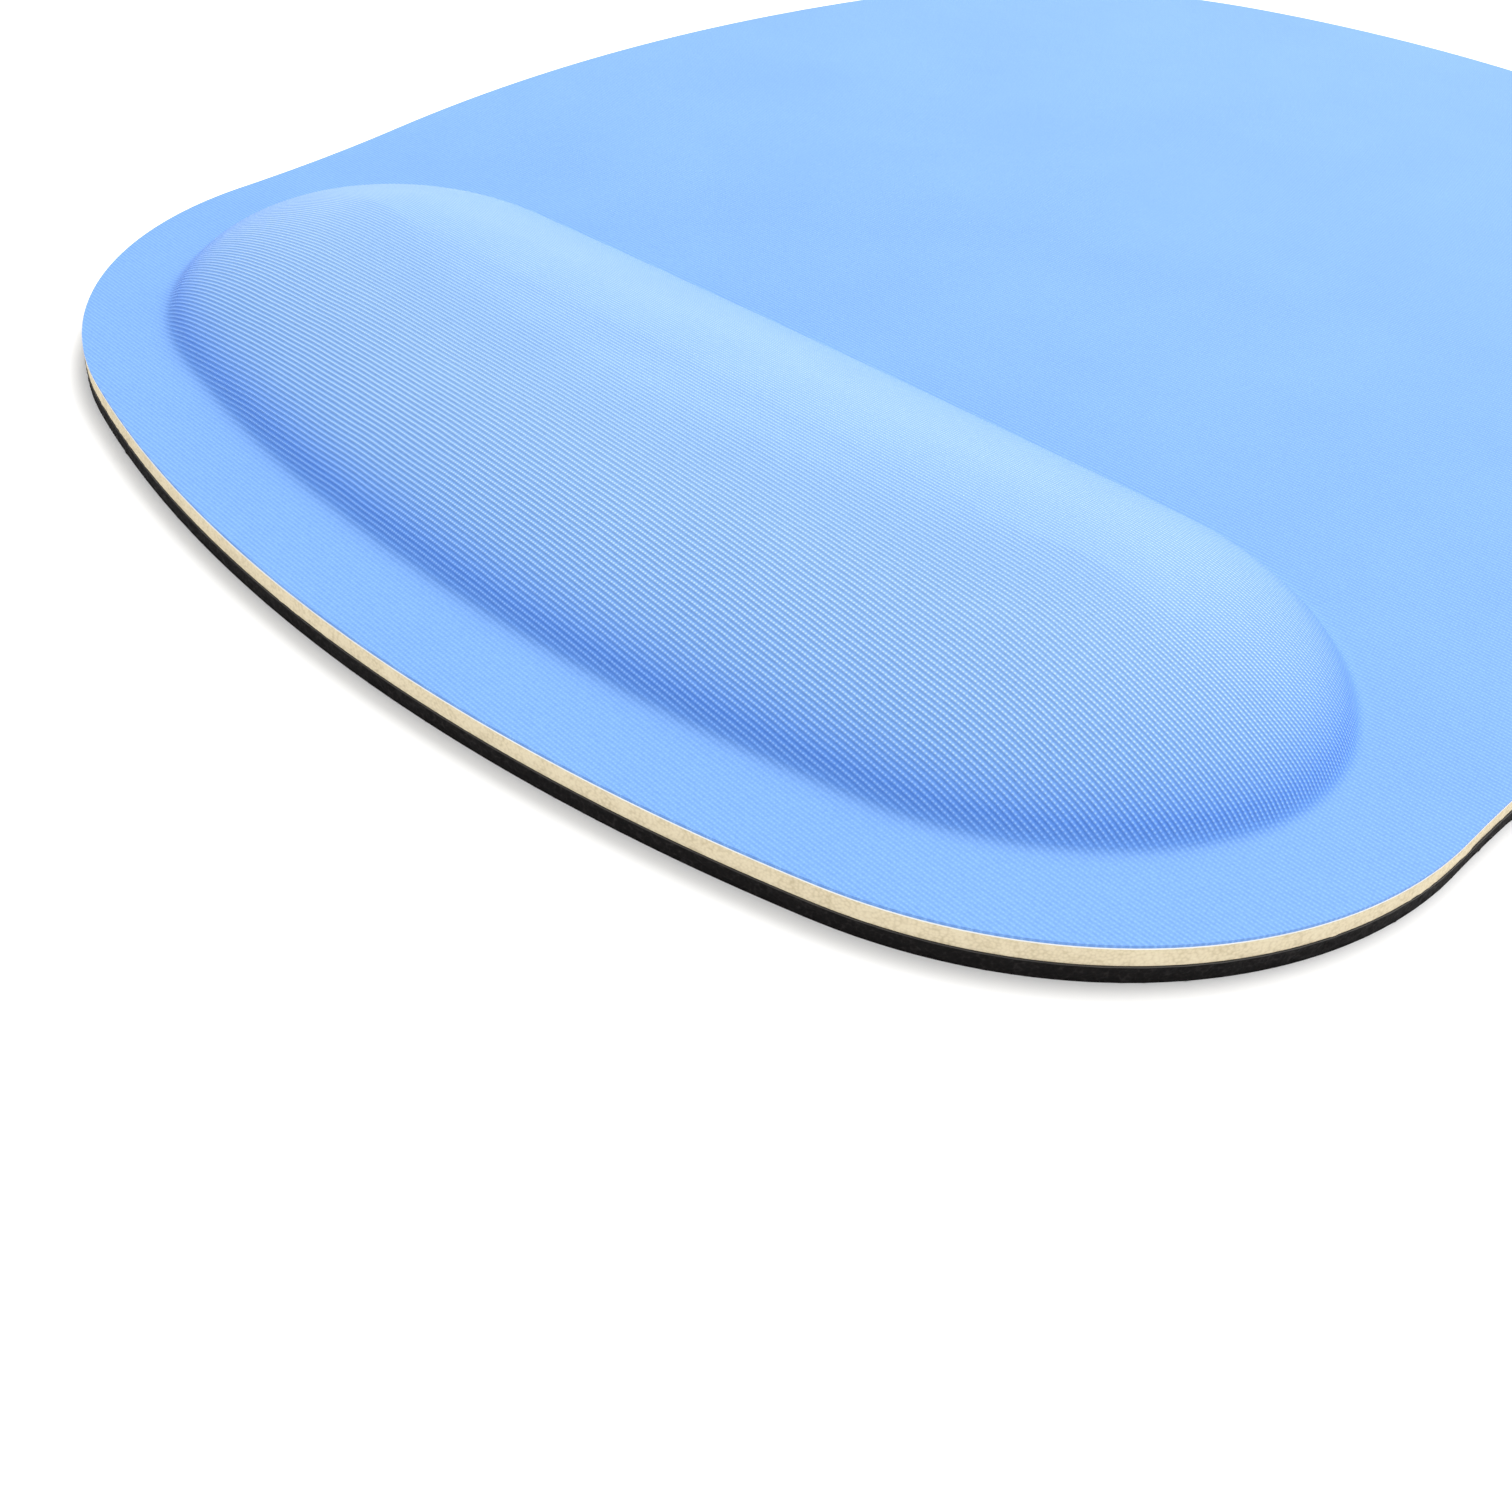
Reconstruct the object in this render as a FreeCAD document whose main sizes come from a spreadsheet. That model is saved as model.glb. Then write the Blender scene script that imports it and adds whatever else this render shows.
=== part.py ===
import FreeCAD, Part
import math
import os
import Sketcher

doc = FreeCAD.newDocument("mouse_mat_with_wrist_rest")

# ---- sizes in millimetres and degrees ----------------------------------------
sheet = doc.addObject("Spreadsheet::Sheet", "Sizes")
sizes = {
    # layers, bottom to top
    "base_thick": 1.9,
    "glue_thick": 0.15,
    "foam_thick": 2.05,
    "bond_thick": 0.15,
    "cover_thick": 0.35,
    # mat outline, front centre to back centre: radius and turning angle of each arc
    "mat_reach": 128.185,
    "mat_front_radius": 195.0,
    "mat_front_angle": 16.8,
    "mat_corner_radius": 50.0,
    "mat_corner_angle": 71.9,
    "mat_waist_radius": 252.0,
    "mat_waist_angle": 7.3,
    "mat_side_radius": 250.0,
    "mat_side_angle": 27.2,
    "mat_shoulder_radius": 74.0,
    "mat_shoulder_angle": 56.8,
    # wrist cushion outline
    "rest_reach": 115.8,
    "rest_front_radius": 207.0,
    "rest_front_angle": 15.0,
    "rest_corner_radius": 37.5,
    "rest_corner_angle": 53.0,
    "rest_end_radius": 26.0,
    "rest_end_angle": 46.0,
    "rest_shoulder_radius": 31.0,
    "rest_shoulder_angle": 64.8,
    # wrist cushion section
    "rest_rise": 12.0,
    "slope_width": 22.0,
    "slope_drop": 8.8,
    "rim_radius": 2.8,
    "crown_radius": 18.0,
    "crease_radius": 1.2,
    "film_thick": 0.25,
    "flange_width": 3.0,
}
for row, (name, value) in enumerate(sizes.items(), start=1):
    sheet.set("A%d" % row, name)
    sheet.set("B%d" % row, str(value))
    sheet.setAlias("B%d" % row, name)
doc.recompute()

MAT = ["mat_front", "mat_corner", "mat_waist", "mat_side", "mat_shoulder"]
REST = ["rest_front", "rest_corner", "rest_end", "rest_shoulder"]


def total(names):
    return sum(sizes[name] for name in names)


def cells(names):
    return " + ".join("Sizes." + name for name in names)


def originPlane(body, role):
    for feature in body.Origin.OriginFeatures:
        if feature.Role == role:
            return feature
    raise RuntimeError("no origin plane " + role)


def addBody(label):
    body = doc.addObject("PartDesign::Body", label)
    body.Label = label
    body.Placement = FreeCAD.Placement()
    return body


def outlineSketch(body, label, arcs, reachCell, levelCells, inset=0.0, rise=0.0):
    # closed run of tangent arcs, mirrored about the Y axis, pulled in by inset
    sketch = body.newObject("Sketcher::SketchObject", label)
    sketch.AttachmentSupport = [(originPlane(body, "XY_Plane"), "")]
    sketch.MapMode = "FlatFace"
    level = total(levelCells) + rise
    sketch.AttachmentOffset = FreeCAD.Placement(FreeCAD.Vector(0, 0, level), FreeCAD.Rotation())
    if levelCells:
        sketch.setExpression("AttachmentOffset.Base.z", "%s + %.5f" % (cells(levelCells), rise))
    half = []
    for name in arcs:
        bend = -1.0 if name.endswith("waist") else 1.0
        half.append((name, sizes[name + "_radius"] - bend * inset, sizes[name + "_angle"], bend))
    turned = sum(angle * bend for name, radius, angle, bend in half)
    x = 0.0
    heading = 0.0
    for name, radius, angle, bend in half:
        after = heading + math.radians(angle) * bend
        x += bend * radius * (math.sin(after) - math.sin(heading))
        heading = after
    backAngle = 180.0 - turned
    backRadius = x / math.sin(math.radians(backAngle))
    side = half[1:]
    name, radius, angle, bend = half[0]
    run = [(name, radius, 2 * angle, 1.0)] + side + [("back", backRadius, 2 * backAngle, 1.0)]
    run += side[::-1]
    heading = -math.radians(angle)
    px = -radius * math.sin(math.radians(angle))
    py = -sizes[reachCell] + inset + radius * (1 - math.cos(math.radians(angle)))
    ends = []
    for index, (name, radius, angle, bend) in enumerate(run):
        cx = px - bend * radius * math.sin(heading)
        cy = py + bend * radius * math.cos(heading)
        after = heading + bend * math.radians(angle)
        first = heading - bend * math.pi / 2
        last = after - bend * math.pi / 2
        circle = Part.Circle(FreeCAD.Vector(cx, cy, 0), FreeCAD.Vector(0, 0, 1), radius)
        if bend > 0:
            sketch.addGeometry(Part.ArcOfCircle(circle, first, last), False)
            ends.append((1, 2))
        else:
            sketch.addGeometry(Part.ArcOfCircle(circle, last, first), False)
            ends.append((2, 1))
        px = cx + bend * radius * math.sin(after)
        py = cy - bend * radius * math.cos(after)
        heading = after
    count = len(run)
    back = len(half)
    for index in range(count):
        follow = (index + 1) % count
        sketch.addConstraint(Sketcher.Constraint("Tangent", index, ends[index][1], follow, ends[follow][0]))
    sketch.addConstraint(Sketcher.Constraint("PointOnObject", 0, 3, -2))
    sketch.addConstraint(Sketcher.Constraint("PointOnObject", back, 3, -2))
    sketch.addConstraint(Sketcher.Constraint("Horizontal", 0, 1, 0, 2))
    for index in range(1, back):
        mirror = count - index
        left = ends[mirror][0]
        if index < back - 1:
            sketch.addConstraint(Sketcher.Constraint("Equal", index, mirror))
            sketch.addConstraint(Sketcher.Constraint("Horizontal", index, ends[index][1], mirror, left))
    for index in range(back):
        name, radius, angle, bend = run[index]
        item = sketch.addConstraint(Sketcher.Constraint("Radius", index, radius))
        sketch.renameConstraint(item, name + "_radius")
        pull = "-" if bend > 0 else "+"
        sketch.setExpression("Constraints.%s_radius" % name, "Sizes.%s_radius %s %.5f" % (name, pull, inset))
        item = sketch.addConstraint(Sketcher.Constraint("Angle", index, math.radians(angle)))
        sketch.renameConstraint(item, name + "_angle")
        times = 2 if index == 0 else 1
        sketch.setExpression("Constraints.%s_angle" % name, "Sizes.%s_angle * %d deg" % (name, times))
    radius = run[0][1]
    item = sketch.addConstraint(Sketcher.Constraint("DistanceY", 0, 3, -1, 1, sizes[reachCell] - inset - radius))
    sketch.renameConstraint(item, "centre")
    reach = "Sizes.%s - Sizes.%s_radius" % (reachCell, run[0][0])
    sketch.setExpression("Constraints.centre", reach)
    return sketch


def pad(body, sketch, names, upward=True):
    feature = body.newObject("PartDesign::Pad", sketch.Label + "_pad")
    feature.Profile = sketch
    feature.Length = total(names)
    feature.setExpression("Length", cells(names))
    feature.Reversed = not upward
    sketch.Visibility = False
    return feature


def edgeNear(feature, y, z):
    # the edge of the front arc at this reach and level
    spot = FreeCAD.Vector(0, y, z)
    best = None
    for number, edge in enumerate(feature.Shape.Edges, start=1):
        middle = edge.valueAt((edge.FirstParameter + edge.LastParameter) / 2)
        away = middle.distanceToPoint(spot)
        if best is None or away < best[0]:
            best = (away, number)
    if best[0] > 0.02:
        raise RuntimeError("no edge near %s" % spot)
    return "Edge%d" % best[1]


def dress(body, kind, label, feature, edge, sizeName, expression):
    item = body.newObject("PartDesign::" + kind, label)
    item.Base = (feature, [edge])
    setattr(item, sizeName, 1.0)
    item.setExpression(sizeName, expression)
    return item


def addDome(body, upright, skinCells, footLevel):
    # sloped shoulder, rolled rim and soft crease around a straight-sided pad
    inward = total(skinCells)
    inset = "(%s)" % (cells(skinCells) if skinCells else "0 * Sizes.cover_thick")
    drop = sizes["slope_drop"]
    slope = drop / sizes["slope_width"]
    drop -= inward * (1 + slope - math.hypot(1, slope))
    width = drop / slope
    top = total(DECK) + sizes["rest_rise"] - inward
    front = inward - sizes["rest_reach"]
    pitch = "(Sizes.slope_drop / Sizes.slope_width)"
    dropText = "(Sizes.slope_drop - %s * (1 + %s - sqrt(1 + %s ^ 2)))" % (inset, pitch, pitch)
    doc.recompute()
    name = body.Label
    edge = edgeNear(upright, front, top)
    slant = dress(body, "Chamfer", name + "_slope", upright, edge, "Size", dropText)
    slant.ChamferType = "Two distances"
    slant.Size2 = width
    slant.setExpression("Size2", "%s / %s" % (dropText, pitch))
    doc.recompute()
    edge = edgeNear(slant, front, top - drop)
    rim = dress(body, "Fillet", name + "_rim", slant, edge, "Radius", "Sizes.rim_radius - " + inset)
    doc.recompute()
    edge = edgeNear(rim, front + width, top)
    crown = dress(body, "Fillet", name + "_crown", rim, edge, "Radius", "Sizes.crown_radius - " + inset)
    last = crown
    if footLevel is not None:
        doc.recompute()
        edge = edgeNear(crown, front, footLevel)
        text = "Sizes.crease_radius + " + inset
        last = dress(body, "Fillet", name + "_crease", crown, edge, "Radius", text)
    return last


DECK = ["base_thick", "glue_thick", "foam_thick", "bond_thick", "cover_thick"]
FOAM_TOP = DECK[:3]
SHELL = ["cover_thick", "bond_thick", "film_thick"]
FILM = sizes["film_thick"]
FLANGE = sizes["flange_width"]

# flat sheets cut to the mat outline
base = addBody("rubber_base")
pad(base, outlineSketch(base, "base_outline", MAT, "mat_reach", []), DECK[:1])

glue = addBody("base_adhesive")
pad(glue, outlineSketch(glue, "glue_outline", MAT, "mat_reach", DECK[:1]), DECK[1:2])

foam = addBody("foam_layer")
pad(foam, outlineSketch(foam, "foam_outline", MAT, "mat_reach", DECK[:2]), DECK[2:3])
seat = outlineSketch(foam, "seat_outline", REST, "rest_reach", FOAM_TOP, -FLANGE)
pocket = foam.newObject("PartDesign::Pocket", "pouch_seat")
pocket.Profile = seat
pocket.Length = 2 * FILM
pocket.setExpression("Length", "2 * Sizes.film_thick")
seat.Visibility = False

# gel pouch: flat lower film, gel filling, domed upper film with a welded flange
lower = addBody("gel_pouch_lower_film")
disc = outlineSketch(lower, "lower_outline", REST, "rest_reach", FOAM_TOP, -FLANGE, -2 * FILM)
pad(lower, disc, ["film_thick"])

gel = addBody("gel_core")
wall = outlineSketch(gel, "gel_outline", REST, "rest_reach", FOAM_TOP, total(SHELL), -FILM)
addDome(gel, pad(gel, wall, ["rest_rise"]), SHELL, None)

# outer forms of the three skins, each cut by the next form inside it
pouchForm = addBody("pouch_form")
rim = outlineSketch(pouchForm, "rim_outline", REST, "rest_reach", FOAM_TOP, -FLANGE, -FILM)
pad(pouchForm, rim, ["film_thick"])
wall = outlineSketch(pouchForm, "pouch_outline", REST, "rest_reach", FOAM_TOP, total(SHELL[:2]))
addDome(pouchForm, pad(pouchForm, wall, ["rest_rise"]), SHELL[:2], total(FOAM_TOP))

bondForm = addBody("bond_form")
pad(bondForm, outlineSketch(bondForm, "bond_outline", MAT, "mat_reach", DECK[:3]), DECK[3:4])
wall = outlineSketch(bondForm, "raised_bond", REST, "rest_reach", DECK[:4], total(SHELL[:1]))
addDome(bondForm, pad(bondForm, wall, ["rest_rise"]), SHELL[:1], total(DECK[:4]))

coverForm = addBody("cover_form")
pad(coverForm, outlineSketch(coverForm, "cover_outline", MAT, "mat_reach", DECK[:4]), DECK[4:5])
wall = outlineSketch(coverForm, "raised_cover", REST, "rest_reach", DECK)
addDome(coverForm, pad(coverForm, wall, ["rest_rise"]), [], total(DECK))

skins = []
for label, outer, inner in [
    ("gel_pouch_upper_film", pouchForm, gel),
    ("cover_bond_film", bondForm, pouchForm),
    ("cover_fabric", coverForm, bondForm),
]:
    skin = doc.addObject("Part::Cut", label)
    skin.Label = label
    skin.Base = outer
    skin.Tool = inner
    skins.append(skin)

doc.recompute()

# ---- checks, then one file per piece ------------------------------------------
for item in doc.Objects:
    if "Invalid" in item.State or "Error" in item.State:
        raise RuntimeError("failed object " + item.Label)

pieces = [base, glue, foam, lower, gel] + skins
slab = base.Shape.Volume / sizes["base_thick"]
dug = slab * sizes["foam_thick"] - foam.Shape.Volume
if dug < 1000.0:
    raise RuntimeError("the pouch seat cut nothing")

os.makedirs("parts", exist_ok=True)
for piece in pieces:
    shape = piece.Shape
    if shape.isNull() or not shape.isValid() or len(shape.Solids) != 1:
        raise RuntimeError("bad shape " + piece.Label)
    box = shape.optimalBoundingBox()
    print("%-22s volume %9.1f mm3   z %.3f to %.3f   faces %d" % (
        piece.Label, shape.Volume, box.ZMin, box.ZMax, len(shape.Faces)))
    shape.exportStep("parts/" + piece.Label + ".step")
whole = skins[2].Shape.optimalBoundingBox()
print("overall %.2f x %.2f x %.2f mm" % (
    whole.XLength, whole.YLength, whole.ZMax))
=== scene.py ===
import math

import bmesh
import bpy
from mathutils import Matrix, Vector, noise
from mathutils.bvhtree import BVHTree
from mathutils.kdtree import KDTree


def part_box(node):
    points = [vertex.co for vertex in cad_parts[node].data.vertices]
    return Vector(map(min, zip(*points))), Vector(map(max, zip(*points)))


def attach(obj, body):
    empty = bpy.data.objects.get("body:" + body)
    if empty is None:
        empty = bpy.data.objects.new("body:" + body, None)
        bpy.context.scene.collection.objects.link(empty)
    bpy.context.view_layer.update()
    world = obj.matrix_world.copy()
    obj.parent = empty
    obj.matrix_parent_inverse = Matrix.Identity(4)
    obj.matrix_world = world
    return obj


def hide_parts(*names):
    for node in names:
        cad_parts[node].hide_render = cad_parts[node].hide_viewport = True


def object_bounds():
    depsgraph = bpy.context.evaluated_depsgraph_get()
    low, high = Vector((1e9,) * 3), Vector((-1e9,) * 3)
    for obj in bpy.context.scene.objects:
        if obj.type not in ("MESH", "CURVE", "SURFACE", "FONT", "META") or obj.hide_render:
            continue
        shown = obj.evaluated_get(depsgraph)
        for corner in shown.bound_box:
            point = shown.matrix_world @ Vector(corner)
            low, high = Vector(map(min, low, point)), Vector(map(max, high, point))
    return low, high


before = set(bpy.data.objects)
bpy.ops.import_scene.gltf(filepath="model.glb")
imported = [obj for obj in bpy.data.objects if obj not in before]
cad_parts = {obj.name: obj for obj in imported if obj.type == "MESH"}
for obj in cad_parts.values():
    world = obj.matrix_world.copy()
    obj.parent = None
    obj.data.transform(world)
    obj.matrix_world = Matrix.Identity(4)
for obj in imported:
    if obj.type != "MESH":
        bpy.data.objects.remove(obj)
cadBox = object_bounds()
mm = 0.001

view = {
    "azimuth": 45.92,  # degrees to the right of straight in front
    "elevation": 33.877,
    "roll": 1.434,
    "distance": 0.20563,
    "aim": (-0.004976, -0.09382, 0.0),
    "frame": 1512,  # width and height that the next three are given in
    "focal": 1795.05,
    "centreX": 539.28,
    "centreY": 508.84,
    "sensor": 36.0,
    "nearest": 0.01,
}

light = {
    "world": 1.02,
    "key": 86.0,  # watts
    "keyPlace": (-0.1, 1.6, 2.1),  # high behind the mat
    "keySize": 2.4,
}

studioFloor = {
    "size": 6.0,
    "dull": (0.93, 0.93, 0.93),
    "bright": (0.95, 0.95, 0.95),
    "roughness": 0.9,
    "specular": 0.1,
}

# radius in millimetres, turn in degrees and number of steps of each arc, from the middle of
# the front to the start of the back arc; a negative radius bends inwards
matOutline = {
    "reach": 128.185,
    "arcs": [
        (195.0, 16.8, 30),
        (50.0, 71.9, 40),
        (-252.0, 7.3, 10),
        (250.0, 27.2, 28),
        (74.0, 56.8, 20),
    ],
    "backSteps": 12,
}
restOutline = {
    "reach": 115.8,
    "arcs": [
        (207.0, 15.0, 30),
        (37.5, 53.0, 26),
        (26.0, 46.0, 20),
        (31.0, 64.8, 30),
    ],
    "backSteps": 34,
}


def newPiece(name, bm, smooth=True):
    mesh = bpy.data.meshes.new(name)
    bm.to_mesh(mesh)
    bm.free()
    for face in mesh.polygons:
        face.use_smooth = smooth
    piece = bpy.data.objects.new(name, mesh)
    bpy.context.scene.collection.objects.link(piece)
    return piece


def finishPiece(piece, materials, node):
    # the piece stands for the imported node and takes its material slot
    piece.data.materials.clear()
    for material in materials:
        piece.data.materials.append(material)
    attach(piece, "root")
    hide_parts(node)
    print(piece.name, len(piece.data.polygons), "faces")


def sharpenBy(piece, degrees):
    # crisp where the surface turns by more than this
    bm = bmesh.new()
    bm.from_mesh(piece.data)
    for edge in bm.edges:
        edge.smooth = len(edge.link_faces) != 2 or edge.calc_face_angle(0) < math.radians(degrees)
    bm.to_mesh(piece.data)
    bm.free()


def outlineRing(bm, outline, inset=0.0, level=0.0, finer=1):
    # runs round the outline arc by arc, and returns its points in order
    half = outline["arcs"]
    turned = 0.0
    x = 0.0
    for radius, angle, _ in half:
        bend = math.copysign(1, radius)
        after = turned + math.radians(angle) * bend
        x += radius * (math.sin(after) - math.sin(turned))
        turned = after
    backRadius = x / math.sin(math.pi - turned)
    backArc = (backRadius, 2 * math.degrees(math.pi - turned), 2 * outline["backSteps"])
    run = half + [backArc] + half[::-1]
    place = Vector((0, (inset - outline["reach"]) * mm, level))
    heading = 0.0
    point = bm.verts.new(place)
    ring = [point]
    for radius, angle, steps in run:
        bend = math.copysign(1, radius)
        pulled = (radius - inset) * mm
        centre = point.co + Vector((-math.sin(heading), math.cos(heading), 0)) * pulled
        old = set(bm.verts)
        swept = bmesh.ops.spin(
            bm, geom=[point], cent=centre, axis=(0, 0, 1), dvec=(0, 0, 0),
            angle=math.radians(angle) * bend, steps=steps * finer, use_merge=False)
        ring += [vert for vert in bm.verts if vert not in old]
        point = [item for item in swept["geom_last"] if isinstance(item, bmesh.types.BMVert)][0]
        heading += math.radians(angle) * bend
    bmesh.ops.weld_verts(bm, targetmap={ring[-1]: ring[0]})
    return ring[:-1]


def ringPoints(outline, inset=0.0, finer=1):
    bm = bmesh.new()
    points = [vert.co.copy() for vert in outlineRing(bm, outline, inset, 0.0, finer)]
    bm.free()
    return points


def ringEdges(bm, ring):
    return [bm.edges.get((ring[i - 1], ring[i])) for i in range(len(ring))]


def growRing(bm, ring, places):
    # extrudes the ring's edges and moves the new points to their places
    grown = bmesh.ops.extrude_edge_only(bm, edges=ringEdges(bm, ring))
    fresh = {item for item in grown["geom"] if isinstance(item, bmesh.types.BMVert)}
    following = []
    for vert, place in zip(ring, places):
        others = [edge.other_vert(vert) for edge in vert.link_edges]
        partner = [other for other in others if other in fresh][0]
        partner.co = place
        following.append(partner)
    return following


def between(first, second, share):
    return [a.lerp(b, share) for a, b in zip(first, second)]


def raised(points, level):
    return [Vector((p.x, p.y, level)) for p in points]


def newMaterial(name):
    material = bpy.data.materials.new(name)
    material.use_nodes = True
    tree = material.node_tree
    shader = tree.nodes["Principled BSDF"]
    return material, tree, shader


def addNode(tree, kind, inputs=None, **settings):
    node = tree.nodes.new(kind)
    for key, value in settings.items():
        setattr(node, key, value)
    for key, value in (inputs or {}).items():
        if isinstance(value, bpy.types.NodeSocket):
            tree.links.new(value, node.inputs[key])
        else:
            node.inputs[key].default_value = value
    return node


def mathNode(tree, operation, *values):
    return addNode(tree, "ShaderNodeMath", dict(enumerate(values)), operation=operation).outputs[0]


def grain(tree, vector, scale, detail=4.0, roughness=0.6):
    inputs = {"Vector": vector, "Scale": scale, "Detail": detail, "Roughness": roughness}
    return addNode(tree, "ShaderNodeTexNoise", inputs).outputs["Fac"]


def rampNode(tree, value, stops):
    ramp = addNode(tree, "ShaderNodeValToRGB", {"Fac": value})
    elements = ramp.color_ramp.elements
    while len(elements) < len(stops):
        elements.new(0.5)
    for element, (place, colour) in zip(elements, stops):
        element.position = place
        element.color = (*colour, 1)
    return ramp.outputs["Color"]


def rangeNode(tree, value, low, high, newLow, newHigh):
    inputs = {"Value": value, "From Min": low, "From Max": high,
              "To Min": newLow, "To Max": newHigh}
    return addNode(tree, "ShaderNodeMapRange", inputs).outputs["Result"]


def bumpNode(tree, height, distance, strength=1.0, before=None):
    inputs = {"Height": height, "Distance": distance, "Strength": strength}
    if before is not None:
        inputs["Normal"] = before
    return addNode(tree, "ShaderNodeBump", inputs).outputs["Normal"]


def objectPlace(tree):
    return addNode(tree, "ShaderNodeTexCoord").outputs["Object"]


def addCamera():
    azimuth = math.radians(view["azimuth"])
    elevation = math.radians(view["elevation"])
    level = math.cos(elevation)
    back = Vector((math.sin(azimuth) * level, -math.cos(azimuth) * level, math.sin(elevation)))
    right = (-back).cross(Vector((0, 0, 1))).normalized()
    up = right.cross(-back)
    tilt = Matrix.Rotation(math.radians(view["roll"]), 3, back)
    right, up = tilt @ right, tilt @ up
    camera = bpy.data.cameras.new("camera")
    camera.sensor_width = view["sensor"]
    camera.lens = view["sensor"] * view["focal"] / view["frame"]
    camera.shift_x = 0.5 - view["centreX"] / view["frame"]
    camera.shift_y = view["centreY"] / view["frame"] - 0.5
    camera.clip_start = view["nearest"]
    eye = bpy.data.objects.new("camera", camera)
    turn = Matrix((right, up, back)).transposed().to_4x4()
    eye.matrix_world = Matrix.Translation(Vector(view["aim"]) + back * view["distance"]) @ turn
    bpy.context.scene.collection.objects.link(eye)
    bpy.context.scene.camera = eye


def addArea(name, place, aim, size, power):
    lamp = bpy.data.lights.new(name, "AREA")
    lamp.size = size
    lamp.energy = power
    holder = bpy.data.objects.new(name, lamp)
    holder.location = place
    holder.rotation_euler = (Vector(aim) - Vector(place)).to_track_quat("-Z", "Y").to_euler()
    bpy.context.scene.collection.objects.link(holder)


def addFloor():
    bm = bmesh.new()
    bmesh.ops.create_grid(bm, x_segments=1, y_segments=1, size=studioFloor["size"])
    floor = newPiece("studioFloor", bm, False)
    material, tree, shader = newMaterial("pale studio floor")
    tone = grain(tree, objectPlace(tree), 3.0)
    colour = rampNode(tree, tone, [(0.3, studioFloor["dull"]), (0.7, studioFloor["bright"])])
    tree.links.new(colour, shader.inputs["Base Color"])
    shader.inputs["Roughness"].default_value = studioFloor["roughness"]
    shader.inputs["Specular IOR Level"].default_value = studioFloor["specular"]
    floor.data.materials.append(material)


def addWorld():
    world = bpy.data.worlds.new("studio")
    world.use_nodes = True
    background = world.node_tree.nodes["Background"]
    background.inputs["Color"].default_value = (1, 1, 1, 1)
    background.inputs["Strength"].default_value = light["world"]
    bpy.context.scene.world = world


# a slack copy of the filling is blown up inside its pouch

gelPad = {
    "join": 0.02,  # points of the pouch closer than this are one
    "shrink": (0.985, 0.985, 0.97),  # the slack copy beside the pouch
    "voxel": 3.0,
    "pressure": 4.0,
    "quality": 5,
    "lastFrame": 20,
    "cap": 1.6,  # furthest that a point may move
    "relax": 3,
    "flatten": 0.4,  # how much of its belly lies flat on the lower film
    "pressed": 1.5,  # the film shapes the gel that lies this near under it
    "facingUp": 0.3,
    "fill": 0.9,
}


def applied(piece):
    # the mesh as its modifiers leave it
    depsgraph = bpy.context.evaluated_depsgraph_get()
    mesh = bpy.data.meshes.new_from_object(piece.evaluated_get(depsgraph))
    piece.modifiers.clear()
    piece.data = mesh


def makeGelPad():
    low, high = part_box("gel_core")
    bm = bmesh.new()
    bm.from_mesh(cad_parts["gel_core"].data)
    bmesh.ops.remove_doubles(bm, verts=bm.verts, dist=gelPad["join"] * mm)
    anchor = Matrix.Translation((low + high) / 2)
    bmesh.ops.scale(bm, vec=gelPad["shrink"], space=anchor.inverted(), verts=bm.verts)
    piece = newPiece("gelPad", bm)
    remesh = piece.modifiers.new("remesh", "REMESH")
    remesh.mode = "VOXEL"
    remesh.voxel_size = gelPad["voxel"] * mm
    applied(piece)
    before = [vert.co.copy() for vert in piece.data.vertices]
    cloth = piece.modifiers.new("inflate", "CLOTH")
    cloth.settings.use_pressure = True
    cloth.settings.uniform_pressure_force = gelPad["pressure"]
    cloth.settings.effector_weights.gravity = 0
    cloth.settings.quality = gelPad["quality"]
    scene = bpy.context.scene
    for number in range(1, gelPad["lastFrame"] + 1):
        scene.frame_set(number)
    applied(piece)
    scene.frame_set(1)
    cap = gelPad["cap"] * mm
    furthest = 0.0
    for vert, start in zip(piece.data.vertices, before):
        moved = vert.co - start
        furthest = max(furthest, moved.length)
        if moved.length > cap:
            vert.co = start + moved.normalized() * cap
    print("gel pad inflated, furthest move", round(furthest / mm, 2), "mm")
    bm = bmesh.new()
    bm.from_mesh(piece.data)
    for _ in range(gelPad["relax"]):
        bmesh.ops.smooth_vert(
            bm, verts=bm.verts, factor=0.5, use_axis_x=True, use_axis_y=True, use_axis_z=True)
    # fill the pouch again: its crown to the top, its underside flat on the lower film
    least = [min(vert.co[axis] for vert in bm.verts) for axis in range(3)]
    most = [max(vert.co[axis] for vert in bm.verts) for axis in range(3)]
    least[2] += gelPad["flatten"] * mm
    for vert in bm.verts:
        for axis in range(3):
            share = max(0.0, vert.co[axis] - least[axis]) / (most[axis] - least[axis])
            vert.co[axis] = low[axis] + share * (high[axis] - low[axis])
    bm.to_mesh(piece.data)
    bm.free()
    smoothing = piece.modifiers.new("smooth", "SUBSURF")
    smoothing.levels = smoothing.render_levels = 1
    applied(piece)
    for vert in piece.data.vertices:
        vert.co.z = max(vert.co.z, low.z)
    for face in piece.data.polygons:
        face.use_smooth = True
    return piece


# pouch film, bonding film and knitted cover share one surface

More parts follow.
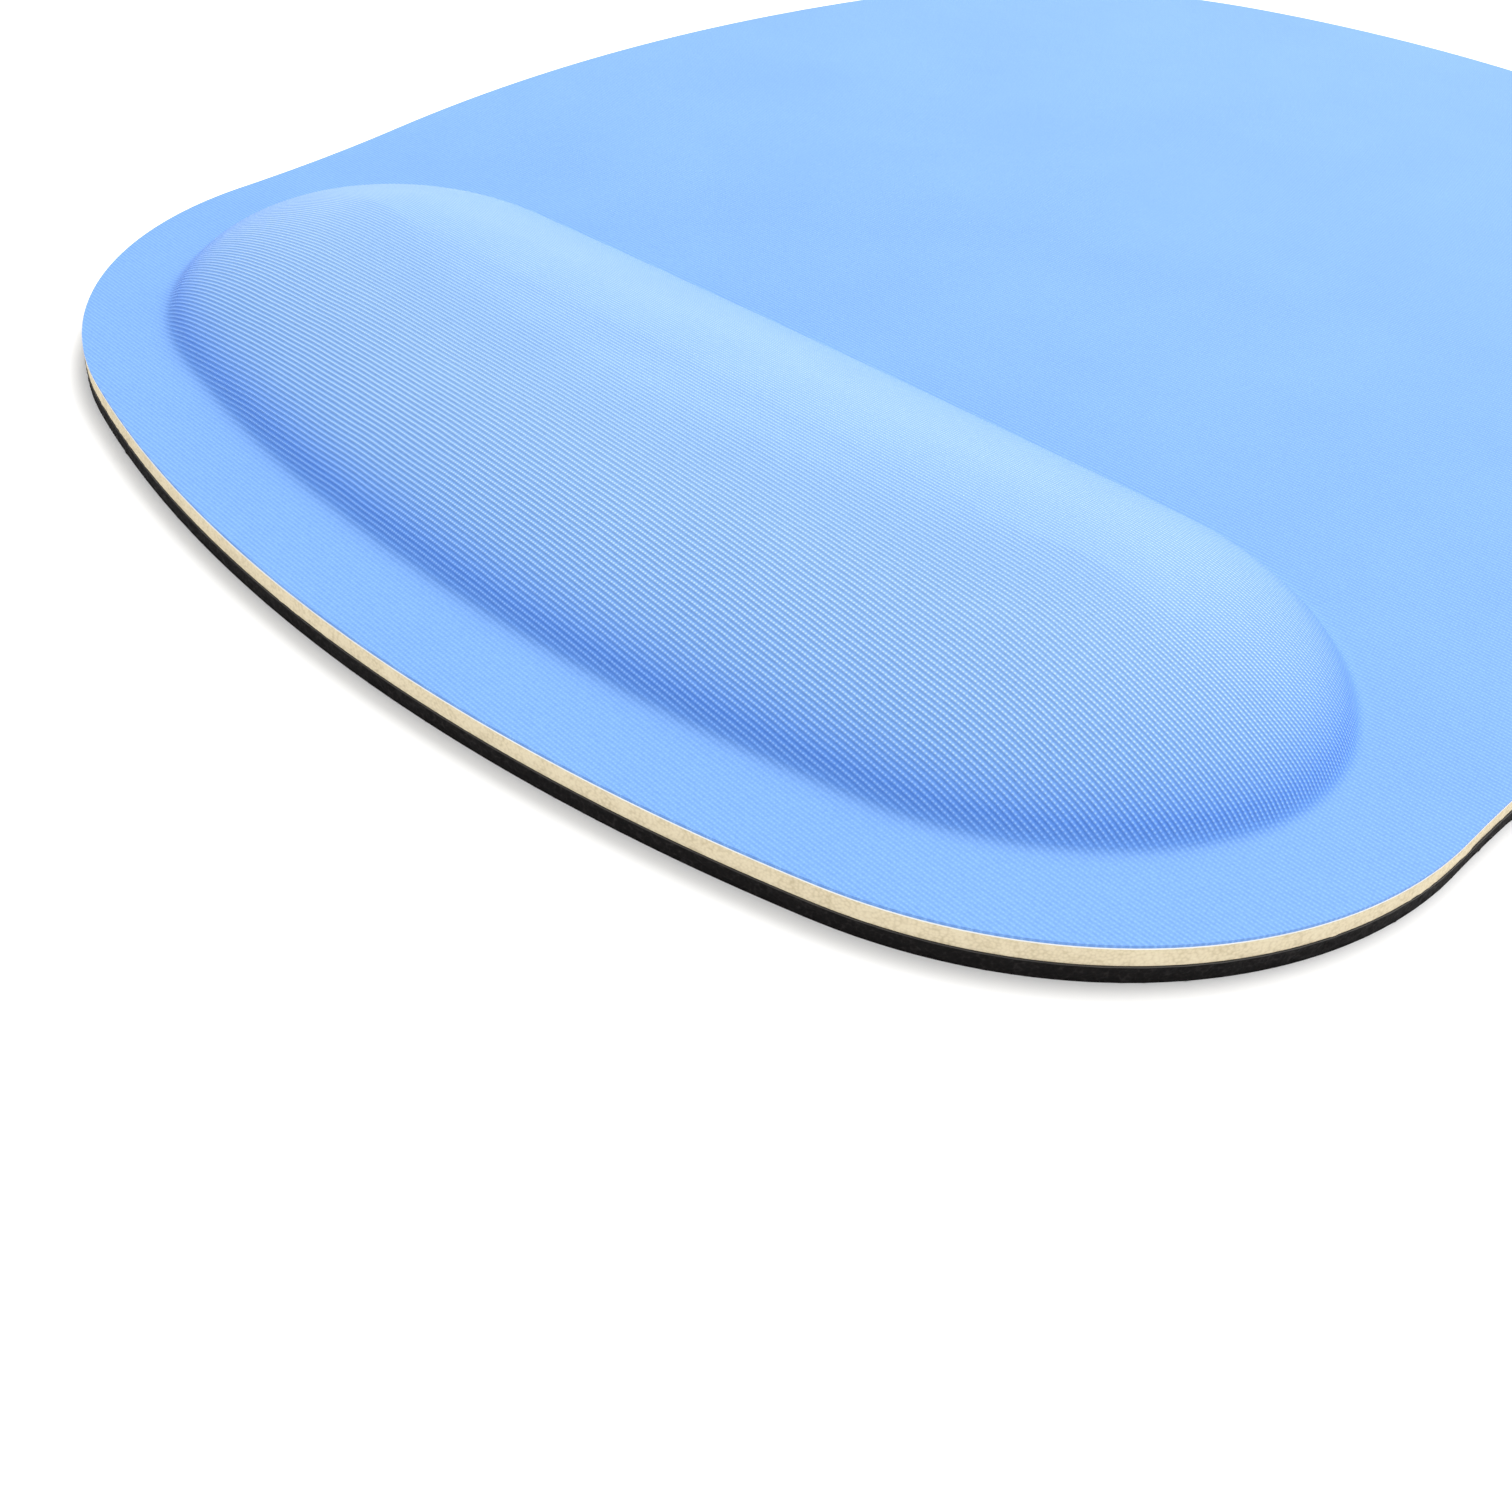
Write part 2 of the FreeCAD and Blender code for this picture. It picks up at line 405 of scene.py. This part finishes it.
skin = {
    "stripRings": [0.12, 0.3, 0.5, 0.7, 0.88],  # shares of the way from the cut edge
    "flange": -3.0,
    "domeRings": [-2.2, -1.4, -0.7, 0.0, 0.6, 1.2, 1.9, 2.7, 3.6,
                  4.6, 5.8, 7.2, 8.8, 10.6, 12.6, 14.8, 17.2, 19.6],
    "flatRings": 4,  # rings outside the crease
    "creaseFiner": 6,
    "endShare": 26,  # points each side of the tip that close the grid's short ends
    "rise": 12.0,
    "width": 31.0,  # from the crease in to the flat of the crown
    "power": 1.5,  # 1 is a straight slope, higher is fuller at the edge
    "relax": 3,  # rounds that soften the crease
    "relaxRings": 11,
    "gap": 0.02,  # kept between the gel and its film
    "filmThick": 0.25,
    "bondThick": 0.15,
    "coverThick": 0.35,
    "upright": 0.02,  # faces flatter on than this are the cut wall
    "crisp": 50,  # degrees
    "mapScale": 10,  # of the cloth map to a metre
    "flatSize": (0.195, 0.2564),
    "flatArea": 0.0430,
}


def skinSurface(startAtFlange=False):
    # one flat surface from the cut edge to the crown; returns it, its domed points and their rings
    bm = bmesh.new()
    edge = ringPoints(matOutline)
    flange = ringPoints(restOutline, skin["flange"])
    if startAtFlange:
        ring = outlineRing(bm, restOutline, skin["flange"])
    else:
        ring = outlineRing(bm, matOutline)
        for share in skin["stripRings"]:
            ring = growRing(bm, ring, between(edge, flange, share))
        ring = growRing(bm, ring, flange)
    flat = set(bm.verts)
    rings = [ring]
    for inset in skin["domeRings"]:
        ring = growRing(bm, ring, ringPoints(restOutline, inset))
        rings.append(ring)
    count = len(ring)
    quarter = count // 4
    ends = skin["endShare"]
    edges = ringEdges(bm, ring)
    railFront = [edges[i % count] for i in range(-quarter + ends + 1, quarter - ends + 1)]
    railBack = [edges[i % count] for i in range(quarter + ends + 1, 3 * quarter - ends + 1)]
    bmesh.ops.grid_fill(
        bm, edges=railFront + railBack, mat_nr=0, use_smooth=True, use_interp_simple=False)
    bmesh.ops.recalc_face_normals(bm, faces=bm.faces)
    if sum(face.normal.z for face in bm.faces) < 0:
        bmesh.ops.reverse_faces(bm, faces=bm.faces)
    return bm, [vert for vert in bm.verts if vert not in flat], rings


def surfaceHeight(tree, x, y, above):
    # looks straight down on the surface; nothing where it misses
    hit = tree.ray_cast(Vector((x, y, above)), Vector((0, 0, -1)))
    return hit[0].z if hit[0] else None


def crownHeight(inset):
    # how high the cloth stands over the mat at this distance in from the crease
    if inset <= 0:
        return 0.0
    share = max(0.0, 1 - inset / skin["width"]) ** skin["power"]
    return skin["rise"] * (1 - share) ** (1 / skin["power"])


def creaseTree():
    points = ringPoints(restOutline, 0.0, skin["creaseFiner"])
    tree = KDTree(len(points))
    for index, point in enumerate(points):
        tree.insert(point, index)
    tree.balance()
    return tree


def layClothMap(bm, rings):
    # where each point was on the flat cloth: pulled evenly from the crease up to the crown
    flatPlace = {vert: Vector((vert.co.x, vert.co.y)) for vert in bm.verts}
    for spoke in zip(*rings):
        lengths = [0.0]
        for a, b in zip(spoke, spoke[1:]):
            lengths.append(lengths[-1] + (b.co - a.co).length)
        start, end = flatPlace[spoke[0]].copy(), flatPlace[spoke[-1]].copy()
        for vert, length in zip(spoke, lengths):
            flatPlace[vert] = start.lerp(end, length / lengths[-1])
    layer = bm.loops.layers.uv.new("clothMap")
    for face in bm.faces:
        for loop in face.loops:
            loop[layer].uv = flatPlace[loop.vert] * skin["mapScale"]


def makeSkin(name, node, thick, startAtFlange=False):
    bm, dome, rings = skinSurface(startAtFlange)
    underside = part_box(node)[0].z
    crease = creaseTree()
    beyond = {vert for ring in rings[:skin["flatRings"]] for vert in ring}
    for vert in dome:
        if vert not in beyond:
            vert.co.z = crownHeight(crease.find(vert.co)[2] / mm) * mm
    foot = [vert for ring in rings[1:skin["relaxRings"]] for vert in ring]
    for _ in range(skin["relax"]):
        bmesh.ops.smooth_vert(
            bm, verts=foot, factor=0.5, use_axis_x=False, use_axis_y=False, use_axis_z=True)
    layClothMap(bm, rings)
    bmesh.ops.translate(bm, verts=bm.verts, vec=(0, 0, underside))
    # thickness, straight up so that the layers stay parted
    grown = bmesh.ops.extrude_face_region(bm, geom=bm.faces[:], use_keep_orig=True)
    upper = [item for item in grown["geom"] if isinstance(item, bmesh.types.BMVert)]
    bmesh.ops.translate(bm, verts=upper, vec=(0, 0, thick * mm))
    bmesh.ops.recalc_face_normals(bm, faces=bm.faces)
    for face in bm.faces:
        face.material_index = 1 if abs(face.normal.z) < skin["upright"] else 0
    piece = newPiece(name, bm)
    sharpenBy(piece, skin["crisp"])
    return piece


def fillUnder(piece, film):
    # the film holds the gel down, and the gel fills it out
    bm = bmesh.new()
    bm.from_mesh(film.data)
    below = (skin["filmThick"] + skin["gap"]) * mm
    bmesh.ops.translate(bm, verts=bm.verts, vec=(0, 0, -below))
    tree = BVHTree.FromBMesh(bm)
    bm.free()
    above = 2 * cadBox[1].z
    moved = 0
    for vert in piece.data.vertices:
        limit = surfaceHeight(tree, vert.co.x, vert.co.y, above)
        if limit is None:
            continue
        near = vert.normal.z > gelPad["facingUp"] and vert.co.z > limit - gelPad["pressed"] * mm
        if near or vert.co.z > limit:
            vert.co.z = limit
            moved += 1
    print("gel shaped by its film at", moved, "points")


# the foam and the rubber are cut from flat sheet

cutSheet = {
    "finer": 4,
    "rows": 5,
    "edgeRound": 0.12,
    "grain": 1.1,  # size of the torn cells along the cut
    "fineGrain": 2.7,  # times finer
    "middle": -0.02,  # where the wall's outward directions start, in metres along Y
    "lean": 0.75,  # keeps the torn wall inside the clean cut
    "crisp": 50,
}

foamSheet = {
    "torn": 0.13,  # depth of the torn cells
    "seed": 3.0,
    "pocket": 0.5,  # depth of the pouch's seat
    "fill": 1.0,
}

rubberSheet = {
    "torn": 0.2,
    "seed": 11.0,
    "pocket": 0.0,
}


def roughenWall(verts, depth, seed):
    # the knife leaves the cut wall slightly uneven
    for vert in verts:
        outward = Vector((vert.co.x, vert.co.y - cutSheet["middle"], 0)).normalized()
        spot = Vector((vert.co.x, vert.co.y, vert.co.z * 2)) / (cutSheet["grain"] * mm)
        coarse = noise.noise(spot + Vector((seed, 0, 0)))
        fine = noise.noise(spot * cutSheet["fineGrain"] + Vector((0, seed, 0)))
        vert.co += outward * (coarse + 0.5 * fine - cutSheet["lean"]) * depth


def makeCutSheet(name, node, sheet):
    low, high = [corner.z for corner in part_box(node)]
    bm = bmesh.new()
    finer = cutSheet["finer"]
    edgeRound = cutSheet["edgeRound"]
    outer = ringPoints(matOutline, 0.0, finer)
    inner = ringPoints(matOutline, edgeRound, finer)
    wall = []
    bottomRing = ring = outlineRing(bm, matOutline, edgeRound, low, finer)
    rows = cutSheet["rows"]
    for row in range(rows + 1):
        level = low + edgeRound * mm + (high - low - 2 * edgeRound * mm) * row / rows
        ring = growRing(bm, ring, raised(outer, level))
        wall += ring
    ring = growRing(bm, ring, raised(inner, high))
    bmesh.ops.contextual_create(bm, geom=ringEdges(bm, bottomRing))
    if sheet["pocket"] > 0:
        seat = ringPoints(restOutline, skin["flange"], finer)
        ring = growRing(bm, ring, raised(seat, high))
        ring = growRing(bm, ring, raised(seat, high - sheet["pocket"] * mm))
    bmesh.ops.contextual_create(bm, geom=ringEdges(bm, ring))
    roughenWall(wall, sheet["torn"] * mm, sheet["seed"])
    bmesh.ops.recalc_face_normals(bm, faces=bm.faces)
    piece = newPiece(name, bm)
    sharpenBy(piece, cutSheet["crisp"])
    return piece


knit = {
    "turn": 2.5,  # degrees that the ribs run off the X axis
    "ribPitch": 0.5,
    "ribNarrow": 1.6,  # above 1 the ribs are narrower than the grooves
    "stitchPitch": 0.34,
    "stitchStep": 0.37,  # of a stitch, from one rib to the next
    "stitchDepth": 0.6,
    "wander": 0.5,  # how far a rib strays from straight
    # the rib colours from groove to crest: painted shade in the grooves, a painted highlight on the
    # crests and stitch dots
    "deep": (0.13, 0.27, 0.57),
    "face": (0.26, 0.445, 0.77),
    "crest": (0.55, 0.72, 0.93),
    "matTop": 4.6,
    # how strongly the ribs show, by height from the mat to the crown: their bump, and their painted
    # groove shade and crest highlight, which stand strongest on the slopes
    "ribReliefAndPaintedContrast": [(0.0, 0.22), (0.12, 1.0), (0.6, 0.85), (0.95, 0.5)],
    # tint by the same height, painted light: painted shade deeper along the crease at the foot of
    # the cushion, a painted sheen paler over its crown
    "paintedShadeAndSheen": [
        (0.0, (0.80, 0.89, 1.0)),
        (0.04, (0.56, 0.74, 1.0)),
        (0.15, (0.45, 0.65, 0.99)),
        (0.4, (0.73, 0.83, 0.95)),
        (0.85, (1.0, 0.97, 0.92)),
    ],
    "ribBump": 0.14,
    "fibreBump": 0.05,
    "roughness": (0.6, 0.8),
    "specular": 0.22,
    "sheen": 0.12,
    "sheenRoughness": 0.35,
    "sheenTint": (0.9, 0.95, 1.0, 1),
}


def waveNode(tree, turns):
    # 0 to 1 and back with each whole turn
    wave = mathNode(tree, "COSINE", mathNode(tree, "MULTIPLY", turns, 2 * math.pi))
    return mathNode(tree, "MULTIPLY_ADD", wave, 0.5, 0.5)


def makeKnit():
    material, tree, shader = newMaterial("light blue ribbed stretch knit")
    place = objectPlace(tree)
    cloth = addNode(tree, "ShaderNodeUVMap", uv_map="clothMap").outputs["UV"]
    turned = addNode(tree, "ShaderNodeMapping", {
        "Vector": cloth,
        "Rotation": (0, 0, math.radians(knit["turn"])),
        "Scale": [1 / skin["mapScale"]] * 3,
    }).outputs["Vector"]
    parts = addNode(tree, "ShaderNodeSeparateXYZ", {"Vector": turned})
    along = parts.outputs["X"]
    stray = mathNode(tree, "MULTIPLY", grain(tree, place, 45.0, 2.0), knit["wander"] * mm)
    across = mathNode(tree, "ADD", parts.outputs["Y"], stray)

    ribTurns = mathNode(tree, "DIVIDE", across, knit["ribPitch"] * mm)
    ridge = mathNode(tree, "POWER", waveNode(tree, ribTurns), knit["ribNarrow"])
    row = mathNode(tree, "ROUND", ribTurns)
    stitchTurns = mathNode(tree, "DIVIDE", along, knit["stitchPitch"] * mm)
    step = mathNode(tree, "MULTIPLY", row, knit["stitchStep"])
    stitch = waveNode(tree, mathNode(tree, "ADD", stitchTurns, step))
    depth = knit["stitchDepth"]
    dots = mathNode(tree, "MULTIPLY_ADD", stitch, depth, 1 - depth)
    loop = mathNode(tree, "MULTIPLY", ridge, dots)

    # the ribs show most on the cushion's slopes and least on the flat mat: in the bump as relief,
    # in the colour as painted shade and highlight
    height = addNode(tree, "ShaderNodeSeparateXYZ", {"Vector": place}).outputs["Z"]
    matTop = knit["matTop"] * mm
    climbed = rangeNode(tree, height, matTop, matTop + skin["rise"] * mm, 0.0, 1.0)
    ribReliefAndPaintedContrast = rampNode(tree, climbed, [(share, (amount,) * 3) for share, amount in knit["ribReliefAndPaintedContrast"]])
    loop = mathNode(tree, "MULTIPLY", loop, ribReliefAndPaintedContrast)

    fibre = grain(tree, place, 4200.0, 3.0, 0.7)
    patch = grain(tree, place, 38.0, 3.0)
    loopPart = mathNode(tree, "MULTIPLY", loop, 0.75)
    fibrePart = mathNode(tree, "MULTIPLY", fibre, 0.35)
    patchPart = mathNode(tree, "MULTIPLY_ADD", patch, 0.08, -0.04)
    amount = mathNode(tree, "ADD", mathNode(tree, "ADD", loopPart, fibrePart), patchPart)
    # deep grooves to pale crests: painted shade in the grooves and a painted highlight on the rib
    # crests and stitch dots; the fibre and patch parts add random tone
    stops = [(0.1, knit["deep"]), (0.42, knit["face"]), (0.9, knit["crest"])]
    colour = rampNode(tree, amount, stops)
    # painted shade at the cushion's foot and a painted sheen over its crown, keyed to height
    paintedShadeAndSheenTint = rampNode(tree, climbed, knit["paintedShadeAndSheen"])
    tinted = addNode(tree, "ShaderNodeVectorMath", {0: colour, 1: paintedShadeAndSheenTint}, operation="MULTIPLY")
    tree.links.new(tinted.outputs["Vector"], shader.inputs["Base Color"])

    normal = bumpNode(tree, loop, knit["ribBump"] * mm, 1.0)
    normal = bumpNode(tree, fibre, knit["fibreBump"] * mm, 0.5, normal)
    tree.links.new(normal, shader.inputs["Normal"])
    rough = rangeNode(tree, fibre, 0.3, 0.7, *knit["roughness"])
    tree.links.new(rough, shader.inputs["Roughness"])
    shader.inputs["Specular IOR Level"].default_value = knit["specular"]
    shader.inputs["Sheen Weight"].default_value = knit["sheen"]
    shader.inputs["Sheen Roughness"].default_value = knit["sheenRoughness"]
    shader.inputs["Sheen Tint"].default_value = knit["sheenTint"]
    return material


cutEdge = {
    "thread": (0.42, 0.54, 0.66),
    "fray": (0.66, 0.65, 0.58),
    "bump": 0.08,
    "roughness": 0.9,
}


def makeCutEdge():
    material, tree, shader = newMaterial("raw cut edge of the knit")
    threads = grain(tree, objectPlace(tree), 2600.0, 3.0, 0.7)
    colour = rampNode(tree, threads, [(0.3, cutEdge["thread"]), (0.7, cutEdge["fray"])])
    tree.links.new(colour, shader.inputs["Base Color"])
    tree.links.new(bumpNode(tree, threads, cutEdge["bump"] * mm, 0.7), shader.inputs["Normal"])
    shader.inputs["Roughness"].default_value = cutEdge["roughness"]
    return material


ivoryFoam = {
    "cellScale": 3200.0,
    "mottleScale": 420.0,
    "pale": (0.72, 0.64, 0.46),
    "plain": (0.67, 0.58, 0.405),
    "dark": (0.52, 0.44, 0.29),
    "bump": 0.12,
    "roughness": (0.8, 0.95),
    "specular": 0.25,
}


def cellNode(tree, place, scale, **settings):
    inputs = {"Vector": place, "Scale": scale, **settings}
    return addNode(tree, "ShaderNodeTexVoronoi", inputs).outputs["Distance"]


def makeFoamMaterial():
    material, tree, shader = newMaterial("ivory closed cell foam")
    place = objectPlace(tree)
    cells = mathNode(tree, "MULTIPLY", cellNode(tree, place, ivoryFoam["cellScale"]), 0.45)
    mottling = grain(tree, place, ivoryFoam["mottleScale"], 4.0)
    amount = mathNode(tree, "ADD", cells, mathNode(tree, "MULTIPLY", mottling, 0.6))
    stops = [(0.2, ivoryFoam["pale"]), (0.5, ivoryFoam["plain"]), (0.8, ivoryFoam["dark"])]
    tree.links.new(rampNode(tree, amount, stops), shader.inputs["Base Color"])
    tree.links.new(bumpNode(tree, amount, ivoryFoam["bump"] * mm, 0.7), shader.inputs["Normal"])
    rough = rangeNode(tree, mottling, 0.3, 0.7, *ivoryFoam["roughness"])
    tree.links.new(rough, shader.inputs["Roughness"])
    shader.inputs["Specular IOR Level"].default_value = ivoryFoam["specular"]
    return material


blackRubber = {
    "cellScale": 2600.0,
    "dustScale": 1500.0,
    "gripScale": 700.0,
    "gripUneven": 0.25,
    "deep": (0.002, 0.002, 0.002),
    "plain": (0.005, 0.004, 0.004),
    "dusty": (0.018, 0.016, 0.016),
    "cellBump": 0.12,
    "gripBump": 0.15,
    "roughness": (0.65, 0.9),
    "specular": 0.12,
}


def makeRubberMaterial():
    material, tree, shader = newMaterial("black sponge rubber")
    place = objectPlace(tree)
    cells = mathNode(tree, "MULTIPLY", cellNode(tree, place, blackRubber["cellScale"]), 0.4)
    dust = grain(tree, place, blackRubber["dustScale"], 5.0, 0.7)
    amount = mathNode(tree, "ADD", cells, mathNode(tree, "MULTIPLY", dust, 0.6))
    stops = [(0.3, blackRubber["deep"]), (0.55, blackRubber["plain"]), (0.72, blackRubber["dusty"])]
    tree.links.new(rampNode(tree, amount, stops), shader.inputs["Base Color"])
    # fine grip pattern pressed into the underside
    grip = cellNode(tree, place, blackRubber["gripScale"], Randomness=blackRubber["gripUneven"])
    normal = bumpNode(tree, grip, blackRubber["gripBump"] * mm, 0.5)
    normal = bumpNode(tree, amount, blackRubber["cellBump"] * mm, 0.8, normal)
    tree.links.new(normal, shader.inputs["Normal"])
    rough = rangeNode(tree, dust, 0.3, 0.7, *blackRubber["roughness"])
    tree.links.new(rough, shader.inputs["Roughness"])
    shader.inputs["Specular IOR Level"].default_value = blackRubber["specular"]
    return material


# lightest and darkest colour, roughness, and share of clear
hiddenFilms = {
    "clear pouch film": ((0.8, 0.86, 0.9), (0.72, 0.8, 0.86), 0.12, 0.6),
    "milky bonding film": ((0.78, 0.8, 0.78), (0.7, 0.72, 0.7), 0.5, 0.0),
    "clear blue gel": ((0.55, 0.75, 0.95), (0.45, 0.68, 0.93), 0.08, 0.7),
    "dry contact adhesive": ((0.03, 0.025, 0.02), (0.012, 0.01, 0.01), 0.6, 0.0),
    "clear lower film": ((0.8, 0.86, 0.9), (0.72, 0.8, 0.86), 0.12, 0.6),
}


def makeFilmMaterial(name):
    lightest, darkest, rough, clear = hiddenFilms[name]
    material, tree, shader = newMaterial(name)
    place = objectPlace(tree)
    cloud = grain(tree, place, 90.0, 4.0)
    ripple = grain(tree, place, 700.0, 3.0)
    colour = rampNode(tree, cloud, [(0.3, lightest), (0.7, darkest)])
    tree.links.new(colour, shader.inputs["Base Color"])
    spread = rangeNode(tree, cloud, 0.3, 0.7, rough, rough + 0.15)
    tree.links.new(spread, shader.inputs["Roughness"])
    tree.links.new(bumpNode(tree, ripple, 0.03 * mm, 0.5), shader.inputs["Normal"])
    shader.inputs["Transmission Weight"].default_value = clear
    return material


addCamera()
addArea("keyLight", light["keyPlace"], (0, 0, 0), light["keySize"], light["key"])
addFloor()
addWorld()
bpy.context.scene.view_settings.view_transform = "Standard"
print("studio ready")

gel = makeGelPad()
film = makeSkin("pouchFilm", "gel_pouch_upper_film", skin["filmThick"], True)
clearFilm = makeFilmMaterial("clear pouch film")
finishPiece(film, [clearFilm, clearFilm], "gel_pouch_upper_film")

bond = makeSkin("bondFilm", "cover_bond_film", skin["bondThick"])
milkyFilm = makeFilmMaterial("milky bonding film")
finishPiece(bond, [milkyFilm, milkyFilm], "cover_bond_film")

cover = makeSkin("knitCover", "cover_fabric", skin["coverThick"])
finishPiece(cover, [makeKnit(), makeCutEdge()], "cover_fabric")

fillUnder(gel, film)
finishPiece(gel, [makeFilmMaterial("clear blue gel")], "gel_core")

foam = makeCutSheet("foamLayer", "foam_layer", foamSheet)
finishPiece(foam, [makeFoamMaterial()], "foam_layer")

rubber = makeCutSheet("rubberBase", "rubber_base", rubberSheet)
finishPiece(rubber, [makeRubberMaterial()], "rubber_base")

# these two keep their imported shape
for nodeName, finish in [("base_adhesive", "dry contact adhesive"),
                         ("gel_pouch_lower_film", "clear lower film")]:
    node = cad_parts[nodeName]
    node.data.materials.clear()
    node.data.materials.append(makeFilmMaterial(finish))

bpy.context.view_layer.update()
